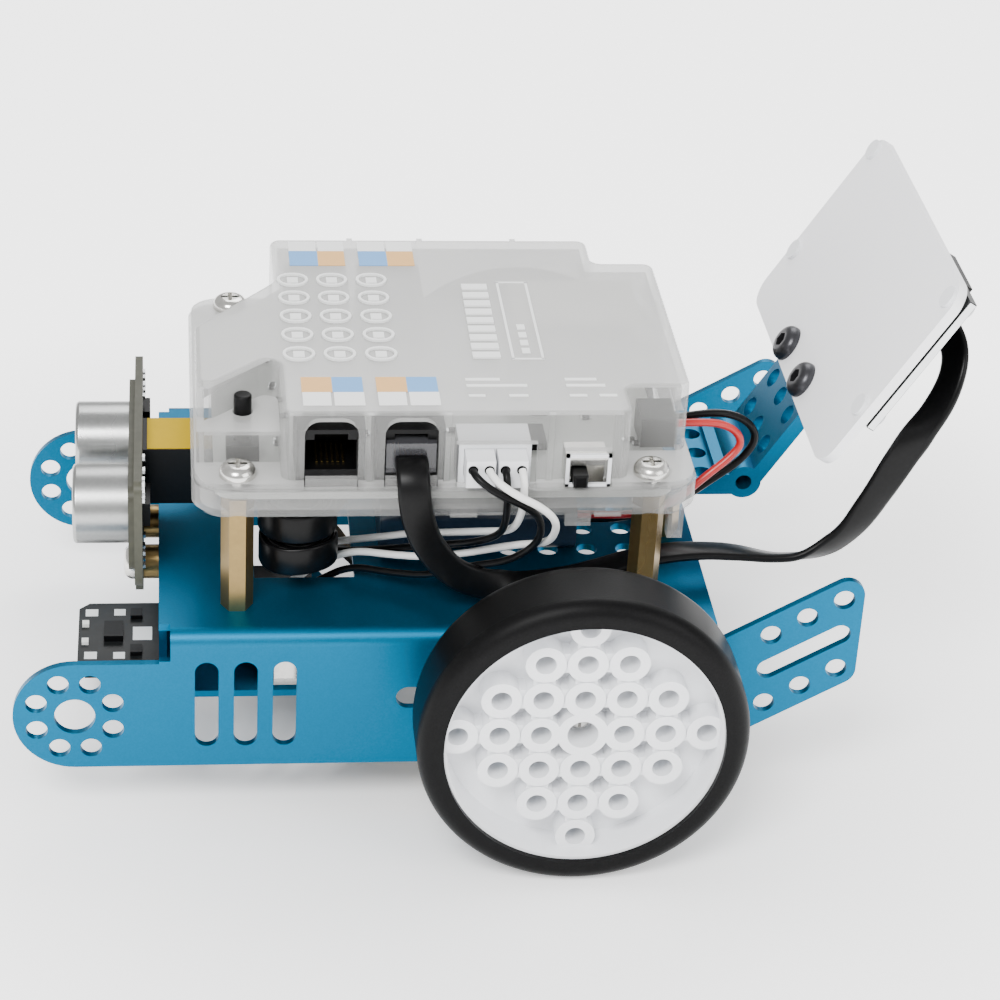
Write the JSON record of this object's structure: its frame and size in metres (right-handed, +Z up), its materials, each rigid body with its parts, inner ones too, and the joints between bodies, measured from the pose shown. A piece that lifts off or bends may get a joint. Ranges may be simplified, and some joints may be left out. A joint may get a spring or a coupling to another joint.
{
  "type": "two wheel robot car",
  "caption": "Educational robot car: folded blue metal chassis, two driven wheels, clear-cased controller, distance sensor in front and a tilted white light panel at the rear.",
  "frame": {"origin": "on the floor, below the middle of the car's overall length and width", "axes": "+Z up, -X is the front with the distance sensor, +Y is the car's right-hand side, away from the picture's camera"},
  "size_m": [0.1906, 0.1446, 0.1114],
  "materials": {
    "blue_sheet": "satin",
    "clear_lid": "gloss",
    "clear_tray": "gloss",
    "brass": "satin",
    "white_plastic": "satin",
    "white_diffuser": "satin",
    "tyre_rubber": "matte",
    "black_plastic": "satin",
    "yellow_plastic": "satin",
    "steel": "satin",
    "dark_steel": "satin",
    "board_white": "satin",
    "board_black": "satin",
    "sensor_blue": "satin",
    "cable_black": "satin",
    "cable_white": "satin",
    "cable_red": "satin",
    "battery_wrap": "satin",
    "aluminium": "satin"
  },
  "bodies": {
    "car": {"battery_lead_black": "cable_black", "battery_lead_red": "cable_red", "battery_pack": "battery_wrap", "board_components": "black_plastic", "brass_posts": "brass", "case_lid": "clear_lid", "case_tray": "clear_tray", "caster_cup": "white_plastic", "chassis": "blue_sheet", "controller_board": "board_white", "hex_nuts": "steel", "left_gearbox_inner_half": "yellow_plastic", "left_gearbox_outer_half": "yellow_plastic", "left_motor_can": "steel", "line_board": "board_black", "line_ribbon": "cable_black", "line_sensors": "black_plastic", "modular_jacks": "black_plastic", "modular_plugs": "clear_tray", "motor_bolts": "steel", "motor_headers": "white_plastic", "motor_plugs": "white_plastic", "motor_wires_black": "cable_black", "motor_wires_white": "cable_white", "pan_screws": "steel", "panel_board": "board_black", "panel_plate": "white_diffuser", "panel_ribbon": "cable_black", "panel_rivets": "white_plastic", "panel_screws": "dark_steel", "power_switch_body": "steel", "radio_module": "board_white", "rear_bracket": "blue_sheet", "ribbon_coil": "cable_black", "right_gearbox_inner_half": "yellow_plastic", "right_gearbox_outer_half": "yellow_plastic", "right_motor_can": "steel", "short_spacers": "brass", "sonar_board": "board_black", "sonar_cans": "aluminium", "sonar_face_plate": "sensor_blue", "sonar_meshes": "dark_steel", "sonar_ribbon": "cable_black", "usb_socket": "steel"},
    "left_wheel": {"left_wheel_hub": "white_plastic", "left_tyre": "tyre_rubber", "left_wheel_screw": "steel", "left_wheel_shaft": "white_plastic"},
    "left_gear": {"left_crown_gear": "white_plastic"},
    "left_rotor": {"left_motor_rotor": "dark_steel"},
    "right_wheel": {"right_wheel_hub": "white_plastic", "right_tyre": "tyre_rubber", "right_wheel_screw": "steel", "right_wheel_shaft": "white_plastic"},
    "right_gear": {"right_crown_gear": "white_plastic"},
    "right_rotor": {"right_motor_rotor": "dark_steel"},
    "ball": {"caster_ball": "steel"},
    "switch_knob": {"power_switch_knob": "black_plastic"},
    "push_button": {"button_cap": "black_plastic"}
  },
  "joints": [
    {"name": "left_wheel_spin", "type": "hinge", "parent": "car", "child": "left_wheel", "pos_m": [0.01348, -0.0643, 0.032], "axis": [0, 1, 0], "continuous": true},
    {"name": "left_gear_spin", "type": "hinge", "parent": "car", "child": "left_gear", "pos_m": [0.00537, -0.0357, 0.032], "axis": [0, 1, 0], "continuous": true},
    {"name": "left_rotor_spin", "type": "hinge", "parent": "car", "child": "left_rotor", "pos_m": [-0.02652, -0.0357, 0.032], "axis": [1, 0, 0], "continuous": true},
    {"name": "right_wheel_spin", "type": "hinge", "parent": "car", "child": "right_wheel", "pos_m": [0.01348, 0.0643, 0.032], "axis": [0, 1, 0], "continuous": true},
    {"name": "right_gear_spin", "type": "hinge", "parent": "car", "child": "right_gear", "pos_m": [0.00537, 0.0357, 0.032], "axis": [0, 1, 0], "continuous": true},
    {"name": "right_rotor_spin", "type": "hinge", "parent": "car", "child": "right_rotor", "pos_m": [-0.02652, 0.0357, 0.032], "axis": [1, 0, 0], "continuous": true},
    {"name": "ball_roll", "type": "hinge", "parent": "car", "child": "ball", "pos_m": [-0.05353, 0, 0.005], "axis": [0, 1, 0], "continuous": true},
    {"name": "switch_slide", "type": "slide", "parent": "car", "child": "switch_knob", "axis": [1, 0, 0], "range_m": [0, 0.003]},
    {"name": "button_press", "type": "slide", "parent": "car", "child": "push_button", "axis": [0, 0, -1], "range_m": [0, 0.0005], "stiffness_N_per_m": 800, "springref_m": -0.0002}
  ],
  "couplings": [
    {"joint": "left_gear_spin", "follows": "left_wheel_spin", "ratio": -2.0769},
    {"joint": "left_rotor_spin", "follows": "left_wheel_spin", "ratio": 5.3563},
    {"joint": "right_gear_spin", "follows": "right_wheel_spin", "ratio": -2.0769},
    {"joint": "right_rotor_spin", "follows": "right_wheel_spin", "ratio": -5.3563}
  ]
}
